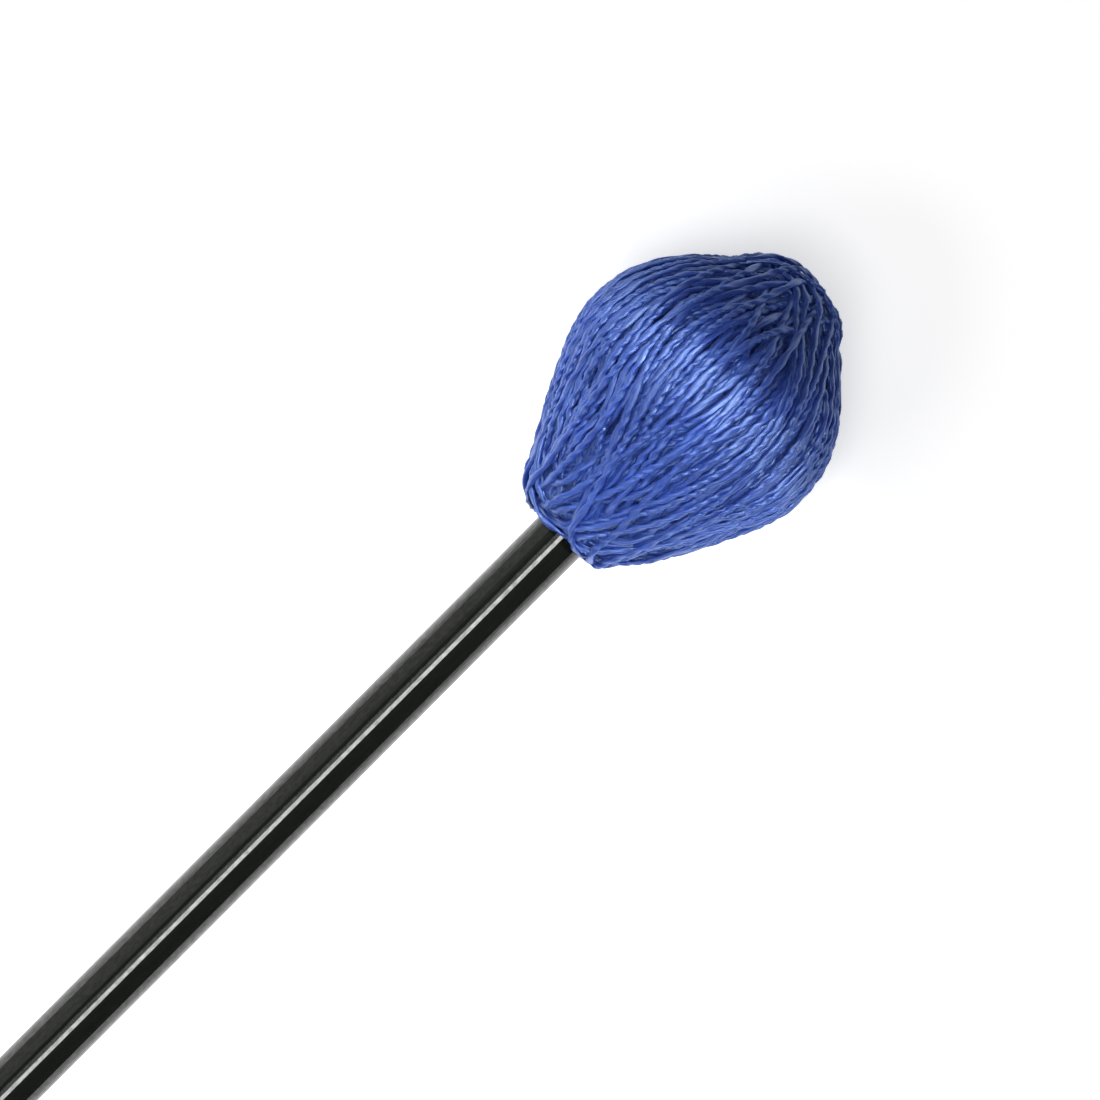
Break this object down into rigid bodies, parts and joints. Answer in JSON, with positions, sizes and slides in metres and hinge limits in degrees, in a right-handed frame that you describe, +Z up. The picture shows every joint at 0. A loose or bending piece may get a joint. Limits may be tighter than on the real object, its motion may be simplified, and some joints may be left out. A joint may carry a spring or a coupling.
{
  "type": "cord mallet",
  "caption": "Cord-wound mallet for vibraphone or marimba, with an acorn-shaped blue head on a straight black round shaft.",
  "frame": {"origin": "centre of the footprint on the table, at the lowest point of the lying mallet", "axes": "+Z up, +X along the mallet from the butt towards the head as seen from above"},
  "size_m": [0.3938, 0.0316, 0.0317],
  "materials": {
    "shaft": "glossy black glass-fibre rod with faint lengthwise fibres",
    "rubber": "plain moulded rubber",
    "under_winding": "matt cotton cord in deep blue",
    "cord": "softly twisted cotton cord in blue with a slight sheen"
  },
  "bodies": {
    "root": {"shaft": "shaft", "rubber_core": "rubber", "under_winding": "under_winding", "cord_winding": "cord"}
  },
  "joints": []
}
